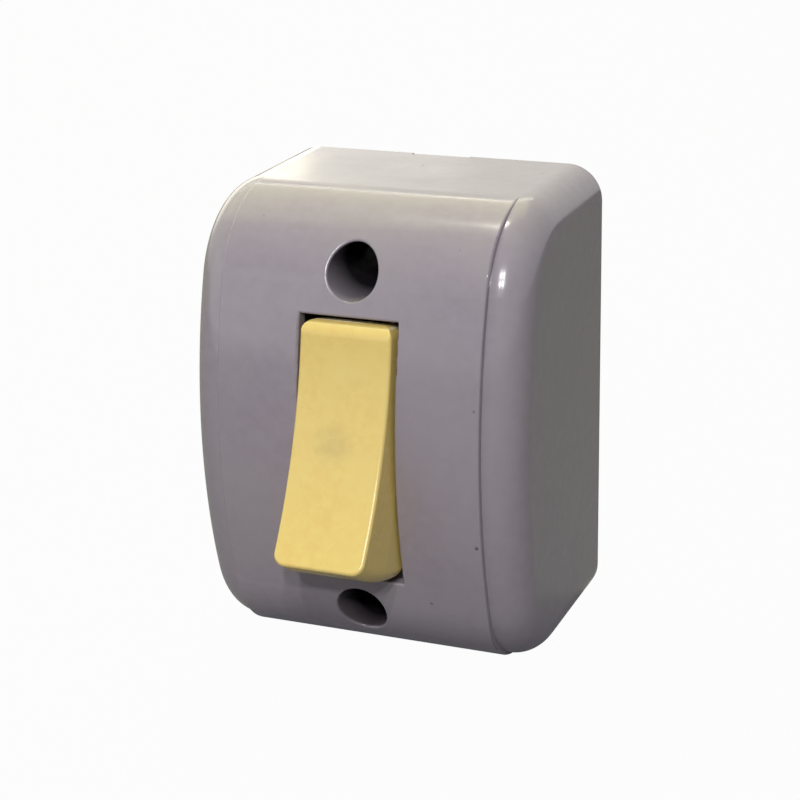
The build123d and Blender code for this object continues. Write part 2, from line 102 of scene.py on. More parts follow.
# Urea moulding, lilac grey: hard and glossy, with a faint flow mottle, a few soft dark specks
# of dust moulded in, the soft waviness of a polished mould, and painted shade deep in its holes
ureaGrey = {
    "colour": "#928a93",
    "mottle": "#8a8189",
    "mottleSize": 1.6 * mm,
    "mottleDetail": 3.0,
    "mottleShare": 0.7,
    "warm": "#928d8f",
    "warmShare": 0.6,
    "patchSize": 16 * mm,
    "speck": "#534d58",
    "speckSpacing": 3.8 * mm,
    "speckRadius": 0.38 * mm,
    "speckFrom": 0.62,  # a cell whose random value is above this holds a speck
    "speckCore": 1.5,  # above 1, a speck's middle is evenly dark
    "dust": 0.002,  # radius in the other cells, in cells, which is too small to see
    "waveSize": 11 * mm,
    "waveDetail": 1.0,
    "waveHeight": 0.25 * mm,
    "waveStrength": 0.35,
    "grainSize": 0.3 * mm,  # mould texture, coarser than the real one so that it shows
    "grainHeight": 0.02 * mm,
    "grainStrength": 0.10,
    "polished": 0.12,  # roughness where the mould left it bright
    "handled": 0.22,  # and where hands have dulled it
    "ior": 1.5,
    # painted shade deep in the screw wells: the colour the wells are darkened to
    "wellShade": "#1d1b1e",
    "wellRise": 25.24 * mm,  # from the middle of the housing to a well's axis
    "wellRadius": 3.9 * mm,
    "wellShadeFrom": -36.0 * mm,  # in front of this depth a well has no painted shade
    "wellShadeFull": -28.0 * mm,  # and behind this one the painted shade is full
    "wellSeat": -11.9 * mm,  # its floor
}


def makeUreaGrey(values):
    material, tree = newMaterial("ureaMouldingGrey")
    place = addNode(tree, "ShaderNodeTexCoord").outputs["Object"]
    patch = addNode(tree, "ShaderNodeTexNoise", inputs={"Vector": place, "Scale": 1 / values["patchSize"]})
    mottle = addNode(tree, "ShaderNodeTexNoise", inputs={
        "Vector": place, "Scale": 1 / values["mottleSize"], "Detail": values["mottleDetail"]})
    mottleShare = addNode(tree, "ShaderNodeMapRange", inputs={
        "Value": mottle, "From Min": noiseLow, "From Max": noiseHigh,
        "To Min": 0.0, "To Max": values["mottleShare"]})
    tone = addNode(tree, "ShaderNodeMix", {"data_type": "RGBA"}, {
        "Factor": mottleShare, "A": toLinear(values["colour"]), "B": toLinear(values["mottle"])})
    warmShare = addNode(tree, "ShaderNodeMapRange", inputs={
        "Value": patch, "From Min": noiseLow, "From Max": noiseHigh,
        "To Min": 0.0, "To Max": values["warmShare"]})
    warmed = addNode(tree, "ShaderNodeMix", {"data_type": "RGBA"}, {
        "Factor": warmShare, "A": tone, "B": toLinear(values["warm"])})
    # specks: one to a cell, and only in the cells whose own random value is high
    cells = addNode(tree, "ShaderNodeTexVoronoi", inputs={
        "Vector": place, "Scale": 1 / values["speckSpacing"], "Randomness": 1.0})
    chosen = addNode(tree, "ShaderNodeSeparateColor", inputs={"Color": cells.outputs["Color"]})
    radius = addNode(tree, "ShaderNodeMapRange", inputs={
        "Value": chosen.outputs["Red"], "From Min": values["speckFrom"], "From Max": 1.0,
        "To Min": values["dust"], "To Max": values["speckRadius"] / values["speckSpacing"]})
    speck = addNode(tree, "ShaderNodeMapRange", inputs={
        "Value": cells.outputs["Distance"], "From Min": 0.0, "From Max": radius,
        "To Min": values["speckCore"], "To Max": 0.0})
    specked = addNode(tree, "ShaderNodeMix", {"data_type": "RGBA"}, {
        "Factor": speck, "A": warmed, "B": toLinear(values["speck"])})
    # painted shade: inside the two screw wells, darker the deeper it goes
    axes = addNode(tree, "ShaderNodeSeparateXYZ", inputs={"Vector": place})
    rise = addNode(tree, "ShaderNodeMath", {"operation": "ABSOLUTE"}, {0: axes.outputs["Z"]})
    offAxis = addNode(tree, "ShaderNodeMath", {"operation": "SUBTRACT"}, {0: rise, 1: values["wellRise"]})
    across = addNode(tree, "ShaderNodeCombineXYZ", inputs={"X": axes.outputs["X"], "Y": offAxis})
    fromAxis = addNode(tree, "ShaderNodeVectorMath", {"operation": "LENGTH"}, {0: across})
    inWell = addNode(tree, "ShaderNodeMath", {"operation": "LESS_THAN"}, {
        0: fromAxis, 1: values["wellRadius"]})
    depth = addNode(tree, "ShaderNodeMapRange", inputs={
        "Value": axes.outputs["Y"], "From Min": values["wellShadeFrom"], "From Max": values["wellShadeFull"],
        "To Min": 0.0, "To Max": 1.0})
    beforeSeat = addNode(tree, "ShaderNodeMath", {"operation": "LESS_THAN"}, {
        0: axes.outputs["Y"], 1: values["wellSeat"]})
    within = addNode(tree, "ShaderNodeMath", {"operation": "MULTIPLY"}, {0: inWell, 1: beforeSeat})
    wellShade = addNode(tree, "ShaderNodeMath", {"operation": "MULTIPLY"}, {0: within, 1: depth})
    coloured = addNode(tree, "ShaderNodeMix", {"data_type": "RGBA"}, {
        "Factor": wellShade, "A": specked, "B": toLinear(values["wellShade"])})
    wave = addNode(tree, "ShaderNodeTexNoise", inputs={
        "Vector": place, "Scale": 1 / values["waveSize"], "Detail": values["waveDetail"]})
    grain = addNode(tree, "ShaderNodeTexNoise", inputs={"Vector": place, "Scale": 1 / values["grainSize"]})
    waviness = addNode(tree, "ShaderNodeBump", inputs={
        "Height": wave, "Strength": values["waveStrength"], "Distance": values["waveHeight"]})
    surface = addNode(tree, "ShaderNodeBump", inputs={
        "Height": grain, "Normal": waviness,
        "Strength": values["grainStrength"], "Distance": values["grainHeight"]})
    roughness = addNode(tree, "ShaderNodeMapRange", inputs={
        "Value": patch, "From Min": noiseLow, "From Max": noiseHigh,
        "To Min": values["polished"], "To Max": values["handled"]})
    shader = addNode(tree, "ShaderNodeBsdfPrincipled", inputs={
        "Base Color": coloured, "Roughness": roughness, "IOR": values["ior"], "Normal": surface})
    addNode(tree, "ShaderNodeOutputMaterial", inputs={"Surface": shader})
    return material


# ABS, straw yellow: the rocker's softer gloss, with a faint warm mottle in the colour,
# and painted shade greying the middle of its dish
absStraw = {
    "colour": "#dfc875",
    "shade": "#dabc6b",
    "mottleSize": 1.3 * mm,
    "mottleDetail": 3.0,
    "patchSize": 9 * mm,
    "evenShade": 0.2,  # share of the mottle left between the patches
    # painted shade on the middle of the rocker's dish: the colour it darkens towards
    "dishShade": "#8c8362",
    "dishShadePlace": (-0.8 * mm, -41.0 * mm, 2.2 * mm),
    "dishShadeRadius": 4.2 * mm,
    "dishShadeFade": 1.4,  # above 1, its edge is softer than its middle
    "dishShadeMottle": (0.6, 1.1),  # how much of it the mottle leaves, at the least and the most
    "dishShadeStrength": 0.42,
    "grainSize": 0.3 * mm,  # mould texture, coarser than the real one so that it shows
    "grainHeight": 0.02 * mm,
    "grainStrength": 0.12,
    "polished": 0.2,
    "handled": 0.34,
    "ior": 1.53,
}


def makeAbsStraw(values):
    material, tree = newMaterial("mouldedAbsStraw")
    place = addNode(tree, "ShaderNodeTexCoord").outputs["Object"]
    patch = addNode(tree, "ShaderNodeTexNoise", inputs={"Vector": place, "Scale": 1 / values["patchSize"]})
    mottle = addNode(tree, "ShaderNodeTexNoise", inputs={
        "Vector": place, "Scale": 1 / values["mottleSize"], "Detail": values["mottleDetail"]})
    patchShare = addNode(tree, "ShaderNodeMapRange", inputs={
        "Value": patch, "From Min": noiseLow, "From Max": noiseHigh,
        "To Min": values["evenShade"], "To Max": 1.0})
    mottleShare = addNode(tree, "ShaderNodeMapRange", inputs={
        "Value": mottle, "From Min": noiseLow, "From Max": noiseHigh, "To Min": 0.0, "To Max": 1.0})
    both = addNode(tree, "ShaderNodeMath", {"operation": "MULTIPLY"}, {0: patchShare, 1: mottleShare})
    tone = addNode(tree, "ShaderNodeMix", {"data_type": "RGBA"}, {
        "Factor": both, "A": toLinear(values["colour"]), "B": toLinear(values["shade"])})
    # painted shade: a soft round darker patch on the dish's middle, broken up by the mottle
    offset = addNode(tree, "ShaderNodeVectorMath", {"operation": "DISTANCE"}, {
        0: place, 1: values["dishShadePlace"]})
    reach = addNode(tree, "ShaderNodeMapRange", inputs={
        "Value": offset, "From Min": 0.0, "From Max": values["dishShadeRadius"], "To Min": 1.0, "To Max": 0.0})
    soft = addNode(tree, "ShaderNodeMath", {"operation": "POWER"}, {0: reach, 1: values["dishShadeFade"]})
    thin, thick = values["dishShadeMottle"]
    patchy = addNode(tree, "ShaderNodeMapRange", inputs={
        "Value": mottle, "From Min": noiseLow, "From Max": noiseHigh, "To Min": thin, "To Max": thick})
    broken = addNode(tree, "ShaderNodeMath", {"operation": "MULTIPLY"}, {0: soft, 1: patchy})
    dishShadeShare = addNode(tree, "ShaderNodeMath", {"operation": "MULTIPLY", "use_clamp": True}, {
        0: broken, 1: values["dishShadeStrength"]})
    coloured = addNode(tree, "ShaderNodeMix", {"data_type": "RGBA"}, {
        "Factor": dishShadeShare, "A": tone, "B": toLinear(values["dishShade"])})
    grain = addNode(tree, "ShaderNodeTexNoise", inputs={"Vector": place, "Scale": 1 / values["grainSize"]})
    surface = addNode(tree, "ShaderNodeBump", inputs={
        "Height": grain, "Strength": values["grainStrength"], "Distance": values["grainHeight"]})
    roughness = addNode(tree, "ShaderNodeMapRange", inputs={
        "Value": patch, "From Min": noiseLow, "From Max": noiseHigh,
        "To Min": values["polished"], "To Max": values["handled"]})
    shader = addNode(tree, "ShaderNodeBsdfPrincipled", inputs={
        "Base Color": coloured, "Roughness": roughness, "IOR": values["ior"], "Normal": surface})
    addNode(tree, "ShaderNodeOutputMaterial", inputs={"Surface": shader})
    return material


# Phenolic, pressed from powder with wood flour in it: dark brown, satin, with fine pale flecks
phenolicBrown = {
    "colour": "#2b2320",
    "cloud": "#1f1917",
    "cloudSize": 5 * mm,
    "cloudDetail": 3.0,
    "fleck": "#4a3d35",
    "fleckSize": 0.35 * mm,
    "fleckDetail": 1.0,
    "fleckRange": (0.58, 0.75),  # noise values from which a fleck shows and is full
    "fleckShare": 0.8,
    "fleckHeight": 0.03 * mm,
    "fleckStrength": 0.2,
    "polished": 0.34,
    "worn": 0.52,
    "ior": 1.6,
}


def makePhenolicBrown(values):
    material, tree = newMaterial("pressedPhenolicBrown")
    place = addNode(tree, "ShaderNodeTexCoord").outputs["Object"]
    cloud = addNode(tree, "ShaderNodeTexNoise", inputs={
        "Vector": place, "Scale": 1 / values["cloudSize"], "Detail": values["cloudDetail"]})
    fleck = addNode(tree, "ShaderNodeTexNoise", inputs={
        "Vector": place, "Scale": 1 / values["fleckSize"], "Detail": values["fleckDetail"]})
    cloudShare = addNode(tree, "ShaderNodeMapRange", inputs={
        "Value": cloud, "From Min": noiseLow, "From Max": noiseHigh, "To Min": 0.0, "To Max": 1.0})
    base = addNode(tree, "ShaderNodeMix", {"data_type": "RGBA"}, {
        "Factor": cloudShare, "A": toLinear(values["colour"]), "B": toLinear(values["cloud"])})
    shows, full = values["fleckRange"]
    fleckShare = addNode(tree, "ShaderNodeMapRange", inputs={
        "Value": fleck, "From Min": shows, "From Max": full, "To Min": 0.0, "To Max": values["fleckShare"]})
    coloured = addNode(tree, "ShaderNodeMix", {"data_type": "RGBA"}, {
        "Factor": fleckShare, "A": base, "B": toLinear(values["fleck"])})
    surface = addNode(tree, "ShaderNodeBump", inputs={
        "Height": fleck, "Strength": values["fleckStrength"], "Distance": values["fleckHeight"]})
    roughness = addNode(tree, "ShaderNodeMapRange", inputs={
        "Value": cloud, "From Min": noiseLow, "From Max": noiseHigh,
        "To Min": values["polished"], "To Max": values["worn"]})
    shader = addNode(tree, "ShaderNodeBsdfPrincipled", inputs={
        "Base Color": coloured, "Roughness": roughness, "IOR": values["ior"], "Normal": surface})
    addNode(tree, "ShaderNodeOutputMaterial", inputs={"Surface": shader})
    return material


# Bare metals: each has rolling, drawing or grinding lines that run one way, and a stain. The
# real lines are a few hundredths of a millimetre apart, and are drawn coarser so that they show
metals = {
    "stampedBrass": {  # rolled strip, stamped: lines along the strip, tarnished in patches
        "colour": "#dcb765", "stain": "#9a6f35", "staining": 0.55, "stainSize": 3.5 * mm,
        "lineSize": 0.12 * mm, "lineStretch": (1.0, 1.0, 0.04), "roughness": (0.2, 0.42)},
    "zincPlatedSteel": {  # bright zinc with a pale yellow passivation
        "colour": "#cfcdc4", "stain": "#bfb285", "staining": 0.7, "stainSize": 1.8 * mm,
        "lineSize": 0.10 * mm, "lineStretch": (1.0, 1.0, 1.0), "roughness": (0.24, 0.4)},
    "groundSteel": {  # ground pin: fine rings round it
        "colour": "#bdbdba", "stain": "#8f8b84", "staining": 0.35, "stainSize": 2.5 * mm,
        "lineSize": 0.10 * mm, "lineStretch": (1.0, 0.04, 0.04), "roughness": (0.16, 0.3)},
    "springWire": {  # drawn wire, oiled
        "colour": "#a9a9ab", "stain": "#6f6a63", "staining": 0.5, "stainSize": 0.8 * mm,
        "lineSize": 0.10 * mm, "lineStretch": (0.1, 1.0, 1.0), "roughness": (0.18, 0.32)},
    "silverContact": {  # silver alloy, dulled and a little sooty from the sparks
        "colour": "#e4e2dc", "stain": "#6d665c", "staining": 0.5, "stainSize": 0.7 * mm,
        "lineSize": 0.15 * mm, "lineStretch": (1.0, 1.0, 1.0), "roughness": (0.3, 0.5)},
}
metalWear = {
    "stainRange": (0.45, 0.75),  # noise values from which a stain shows and is full
    "stainDetail": 4.0,
    "stainRoughness": 0.6,
    "lineHeight": 0.02 * mm,
    "lineStrength": 0.15,
}


def makeMetal(name, values, wear):
    material, tree = newMaterial(name)
    place = addNode(tree, "ShaderNodeTexCoord").outputs["Object"]
    stretched = addNode(tree, "ShaderNodeMapping", inputs={"Vector": place, "Scale": values["lineStretch"]})
    line = addNode(tree, "ShaderNodeTexNoise", inputs={
        "Vector": stretched, "Scale": 1 / values["lineSize"]})
    stain = addNode(tree, "ShaderNodeTexNoise", inputs={
        "Vector": place, "Scale": 1 / values["stainSize"],
        "Detail": wear["stainDetail"], "Roughness": wear["stainRoughness"]})
    shows, full = wear["stainRange"]
    stainShare = addNode(tree, "ShaderNodeMapRange", inputs={
        "Value": stain, "From Min": shows, "From Max": full, "To Min": 0.0, "To Max": values["staining"]})
    coloured = addNode(tree, "ShaderNodeMix", {"data_type": "RGBA"}, {
        "Factor": stainShare, "A": toLinear(values["colour"]), "B": toLinear(values["stain"])})
    surface = addNode(tree, "ShaderNodeBump", inputs={
        "Height": line, "Strength": wear["lineStrength"], "Distance": wear["lineHeight"]})
    smoothest, roughest = values["roughness"]
    roughness = addNode(tree, "ShaderNodeMapRange", inputs={
        "Value": line, "From Min": noiseLow, "From Max": noiseHigh,
        "To Min": smoothest, "To Max": roughest})
    shader = addNode(tree, "ShaderNodeBsdfPrincipled", inputs={
        "Base Color": coloured, "Metallic": 1.0, "Roughness": roughness, "Normal": surface})
    addNode(tree, "ShaderNodeOutputMaterial", inputs={"Surface": shader})
    return material


finishes = {name: makeMetal(name, values, metalWear) for name, values in metals.items()}
finishes["ureaGrey"] = makeUreaGrey(ureaGrey)
finishes["absStraw"] = makeAbsStraw(absStraw)
finishes["phenolicBrown"] = makePhenolicBrown(phenolicBrown)
slotFinish = {
    "housing_plastic": "ureaGrey",
    "rocker_plastic": "absStraw",
    "base_plastic": "phenolicBrown",
    "brass": "stampedBrass",
    "plated_steel": "zincPlatedSteel",
    "steel": "groundSteel",
    "spring_steel": "springWire",
    "contact_silver": "silverContact",
}
for part in frame["record"]["subparts"]:
    node = frame["nodes"][part["node"]]
    node.data.materials.clear()
    node.data.materials.append(finishes[slotFinish[part["material_slot"]]])
print("finishes on", len(frame["nodes"]), "nodes")


def newTree(name, sizes):
    # a geometry nodes tree with one named input for each size, and the ids of those inputs
    tree = bpy.data.node_groups.new(name, "GeometryNodeTree")
    tree.interface.new_socket("Geometry", in_out="OUTPUT", socket_type="NodeSocketGeometry")
    ids = {}
    for sizeName, value in sizes.items():
        kind = "NodeSocketVector" if isinstance(value, tuple) else "NodeSocketFloat"
        if isinstance(value, int):
            kind = "NodeSocketInt"
        ids[sizeName] = tree.interface.new_socket(sizeName, in_out="INPUT", socket_type=kind).identifier
    return tree, tree.nodes.new("NodeGroupInput").outputs, ids


def endTree(tree, geometry, material):
    # real meshes, with their finish
    real = addNode(tree, "GeometryNodeRealizeInstances", inputs={"Geometry": geometry})
    painted = addNode(tree, "GeometryNodeSetMaterial", inputs={"Geometry": real, "Material": material})
    addNode(tree, "NodeGroupOutput", inputs={"Geometry": painted})


def growMesh(name, tree, ids, sizes, material):
    # runs a tree with its sizes and leaves a plain mesh
    host = bpy.data.objects.new(name + "Host", bpy.data.meshes.new(name + "Host"))
    scene.collection.objects.link(host)
    modifier = host.modifiers.new(name, "NODES")
    modifier.node_group = tree
    for sizeName, value in sizes.items():
        modifier[ids[sizeName]] = value
    evaluated = host.evaluated_get(bpy.context.evaluated_depsgraph_get())
    mesh = bpy.data.meshes.new_from_object(evaluated)
    host.modifiers.remove(modifier)
    bpy.data.objects.remove(host)
    mesh.name = name
    mesh.materials.clear()
    mesh.materials.append(material)
    piece = bpy.data.objects.new(name, mesh)
    scene.collection.objects.link(piece)
    return piece


# Cheese-head screws: turned from the tip of the shank up to the rim of the head, with a
# rolled thread and a sawn slot that each screw has at its own angle
terminalScrews = {
    "Screws": 3,
    "First": (0.0, -10.0051 * mm, -15.59 * mm),
    "Step": (0.0, 0.0, 15.59 * mm),
    "Shank Radius": 1.62 * mm,
    "Shank Length": 7.0 * mm,
    "Head Radius": 2.9 * mm,
    "Head Height": 2.0 * mm,
    "Rim Rounding": 0.6 * mm,
    "Slot Width": 0.8 * mm,
    "Slot Depth": 1.1 * mm,
    "Pitch": 0.6 * mm,
    "Thread Height": 0.14 * mm,
    "Seed": 4,
}
fixingScrews = {
    "Screws": 2,
    "First": (-13.35 * mm, -25.0 * mm, -11.0 * mm),
    "Step": (26.7 * mm, 0.0, 22.0 * mm),
    "Shank Radius": 1.25 * mm,
    "Shank Length": 8.0 * mm,
    "Head Radius": 2.7 * mm,
    "Head Height": 1.9 * mm,
    "Rim Rounding": 0.6 * mm,
    "Slot Width": 0.8 * mm,
    "Slot Depth": 1.0 * mm,
    "Pitch": 0.9 * mm,
    "Thread Height": 0.2 * mm,
    "Seed": 11,
}
screwForm = {
    "headFacets": 48,
    "rimSteps": 5,
    "weldGap": 0.001 * mm,  # points nearer than this become one
    "tipShare": 0.7,  # of the shank's radius, at the end of its chamfer
    "bladeLength": 2.4,  # of the slot's blade, in head radii
    "threadShare": 0.86,  # of the shank's length
    "threadFrom": 0.92,  # of the shank's length, down from the head
    "threadSteps": 28,  # to a turn
    "threadSides": 4,
}


def buildScrewTree(sizes, form, material):
    tree, given, ids = newTree("slottedScrew", sizes)
    # from the tip up: how far each step rises, and how much its end is widened, if at all
    tip = addNode(tree, "ShaderNodeMath", {"operation": "MULTIPLY"}, {
        0: given["Shank Radius"], 1: form["tipShare"]})
    chamfer = addNode(tree, "ShaderNodeMath", {"operation": "MULTIPLY"}, {
        0: given["Shank Radius"], 1: 1 - form["tipShare"]})
    shank = addNode(tree, "ShaderNodeMath", {"operation": "SUBTRACT"}, {
        0: given["Shank Length"], 1: chamfer})
    headToShank = addNode(tree, "ShaderNodeMath", {"operation": "DIVIDE"}, {
        0: given["Head Radius"], 1: given["Shank Radius"]})
    wall = addNode(tree, "ShaderNodeMath", {"operation": "SUBTRACT"}, {
        0: given["Head Height"], 1: given["Rim Rounding"]})
    profile = [(chamfer, 1 / form["tipShare"]), (shank, None), (0.0, headToShank), (wall, None)]
    flat = addNode(tree, "ShaderNodeMath", {"operation": "SUBTRACT"}, {
        0: given["Head Radius"], 1: given["Rim Rounding"]})
    for index in range(form["rimSteps"]):
        before, after = [radians(90 * step / form["rimSteps"]) for step in (index, index + 1)]
        rise = addNode(tree, "ShaderNodeMath", {"operation": "MULTIPLY"}, {
            0: given["Rim Rounding"], 1: sin(after) - sin(before)})
        outer = addNode(tree, "ShaderNodeMath", {"operation": "MULTIPLY_ADD"}, {
            0: given["Rim Rounding"], 1: cos(before), 2: flat})
        inner = addNode(tree, "ShaderNodeMath", {"operation": "MULTIPLY_ADD"}, {
            0: given["Rim Rounding"], 1: cos(after), 2: flat})
        narrowing = addNode(tree, "ShaderNodeMath", {"operation": "DIVIDE"}, {0: inner, 1: outer})
        profile.append((rise, narrowing))
    disc = addNode(tree, "GeometryNodeMeshCircle", {"fill_type": "NGON"}, {
        "Vertices": form["headFacets"], "Radius": tip})
    tipDepth = addNode(tree, "ShaderNodeMath", {"operation": "MULTIPLY"}, {
        0: given["Shank Length"], 1: -1.0})
    low = addNode(tree, "GeometryNodeTransform", inputs={
        "Geometry": disc,
        "Translation": addNode(tree, "ShaderNodeCombineXYZ", inputs={"Z": tipDepth})})
    lowEnd = addNode(tree, "GeometryNodeFlipFaces", inputs={"Mesh": low})
    mesh, top = low, True
    for rise, widening in profile:
        raised = addNode(tree, "GeometryNodeExtrudeMesh", {"mode": "FACES"}, {
            "Mesh": mesh, "Selection": top, "Offset Scale": rise, "Individual": False})
        mesh, top = raised, raised.outputs["Top"]
        if widening is not None:
            mesh = addNode(tree, "GeometryNodeScaleElements", {"domain": "FACE"}, {
                "Geometry": raised, "Selection": top, "Scale": widening})
    closed = addNode(tree, "GeometryNodeJoinGeometry", inputs={"Geometry": [mesh, lowEnd]})
    turned = addNode(tree, "GeometryNodeMergeByDistance", inputs={
        "Geometry": closed, "Distance": form["weldGap"]})
    # slot, sawn across the head: the blade's middle lies at the head's face
    blade = addNode(tree, "ShaderNodeCombineXYZ", inputs={
        "X": addNode(tree, "ShaderNodeMath", {"operation": "MULTIPLY"}, {
            0: given["Head Radius"], 1: form["bladeLength"]}),
        "Y": given["Slot Width"],
        "Z": addNode(tree, "ShaderNodeMath", {"operation": "MULTIPLY"}, {0: given["Slot Depth"], 1: 2.0})})
    raisedBlade = addNode(tree, "GeometryNodeTransform", inputs={
        "Geometry": addNode(tree, "GeometryNodeMeshCube", inputs={"Size": blade}),
        "Translation": addNode(tree, "ShaderNodeCombineXYZ", inputs={"Z": given["Head Height"]})})
    sawn = addNode(tree, "GeometryNodeMeshBoolean", {"operation": "DIFFERENCE"}, {
        "Mesh 1": turned, "Mesh 2": raisedBlade})
    # thread: a square rod on edge, wound up the shank
    wound = addNode(tree, "ShaderNodeMath", {"operation": "MULTIPLY"}, {
        0: given["Shank Length"], 1: form["threadShare"]})
    turns = addNode(tree, "ShaderNodeMath", {"operation": "DIVIDE"}, {0: wound, 1: given["Pitch"]})
    helix = addNode(tree, "GeometryNodeCurveSpiral", inputs={
        "Resolution": form["threadSteps"], "Rotations": turns,
        "Start Radius": given["Shank Radius"], "End Radius": given["Shank Radius"], "Height": wound})
    ridge = addNode(tree, "GeometryNodeCurvePrimitiveCircle", inputs={
        "Resolution": form["threadSides"], "Radius": given["Thread Height"]})
    thread = addNode(tree, "GeometryNodeCurveToMesh", inputs={
        "Curve": helix, "Profile Curve": ridge, "Fill Caps": True})
    threadDepth = addNode(tree, "ShaderNodeMath", {"operation": "MULTIPLY"}, {
        0: given["Shank Length"], 1: -form["threadFrom"]})
    threaded = addNode(tree, "GeometryNodeTransform", inputs={
        "Geometry": thread,
        "Translation": addNode(tree, "ShaderNodeCombineXYZ", inputs={"Z": threadDepth})})
    screw = addNode(tree, "GeometryNodeJoinGeometry", inputs={"Geometry": [sawn, threaded]})
    # one at each place, its head to the back, turned as it was last left
    index = addNode(tree, "GeometryNodeInputIndex")
    along = addNode(tree, "ShaderNodeVectorMath", {"operation": "SCALE"}, {
        0: given["Step"], "Scale": index})
    spot = addNode(tree, "ShaderNodeVectorMath", {"operation": "ADD"}, {0: given["First"], 1: along})
    points = addNode(tree, "GeometryNodePoints", inputs={"Count": given["Screws"], "Position": spot})
    spin = addNode(tree, "FunctionNodeRandomValue", {"data_type": "FLOAT"}, {
        "Min": 0.0, "Max": radians(180), "ID": index, "Seed": given["Seed"]})
    turn = addNode(tree, "FunctionNodeAxisAngleToRotation", inputs={"Axis": (0, 0, 1), "Angle": spin})
    backward = addNode(tree, "FunctionNodeRotateRotation", {"rotation_space": "GLOBAL"}, {
        "Rotation": turn, "Rotate By": (radians(-90), 0, 0)})
    placed = addNode(tree, "GeometryNodeInstanceOnPoints", inputs={
        "Points": points, "Instance": screw, "Rotation": backward})
    endTree(tree, placed, material)
    return tree, ids


screwSets = {
    "terminalScrews": (terminalScrews, ("common_screw", "upper_screw", "lower_screw")),
    "fixingScrews": (fixingScrews, ("mechanism_screw_right", "mechanism_screw_left")),
}
for name, (sizes, stoodFor) in screwSets.items():
    tree, ids = buildScrewTree(sizes, screwForm, finishes["zincPlatedSteel"])
    piece = growMesh(name, tree, ids, sizes, finishes["zincPlatedSteel"])
    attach(piece, "case")
    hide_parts(*stoodFor)
    print(name, "made,", len(piece.data.polygons), "faces")


# Spring: wire wound round a line that leaves the rocker's hub squarely and reaches the
# contact bar's nib squarely, its end turns wound closer. It is made in two lengths that meet
# where the wire stays still, because the hub carries one end and the nib the other
rockerSpring = {
    "rockerPivot": (0, -36.2 * mm, 0),
    "rockerLean": radians(21.6),  # at rest
    "hubSeat": 3.0 * mm,  # pivot to the middle of the end turn
    "barFulcrum": (0, -20.5 * mm, 0),
    "barLean": radians(9.5),  # at rest
    "nibSeat": 2.6 * mm,  # fulcrum to the middle of the end turn
    "radius": 1.75 * mm,
    "wireRadius": 0.25 * mm,
    "turns": 7.0,
    "endWinding": 0.55,  # how much closer the end turns lie: at 0 all are even
    "stepsPerTurn": 28,
    "wireFacets": 12,
    "spineSteps": 64,
    "meeting": 0.62,  # share of the wire in the upper length
    "stillLow": 3.1 * mm,  # above the foot, from here to stillHigh the wire stays still
    "stillHigh": 4.7 * mm,
    "nibTop": 1.0 * mm,  # above the foot, below this the turns keep to the nib
}
hubWay = Vector((0, -cos(rockerSpring["rockerLean"]), sin(rockerSpring["rockerLean"])))
nibWay = Vector((0, -cos(rockerSpring["barLean"]), sin(rockerSpring["barLean"])))
springTop = Vector(rockerSpring["rockerPivot"]) - hubWay * rockerSpring["hubSeat"]
springFoot = Vector(rockerSpring["barFulcrum"]) + nibWay * rockerSpring["nibSeat"]
third = (springFoot - springTop).length / 3
springSizes = {
    "Top": tuple(springTop),
    "Below Top": tuple(springTop - hubWay * third),
    "Above Foot": tuple(springFoot + nibWay * third),
    "Foot": tuple(springFoot),
    "Radius": rockerSpring["radius"],
    "Wire Radius": rockerSpring["wireRadius"],
    "Turns": rockerSpring["turns"],
    "End Winding": rockerSpring["endWinding"],
}


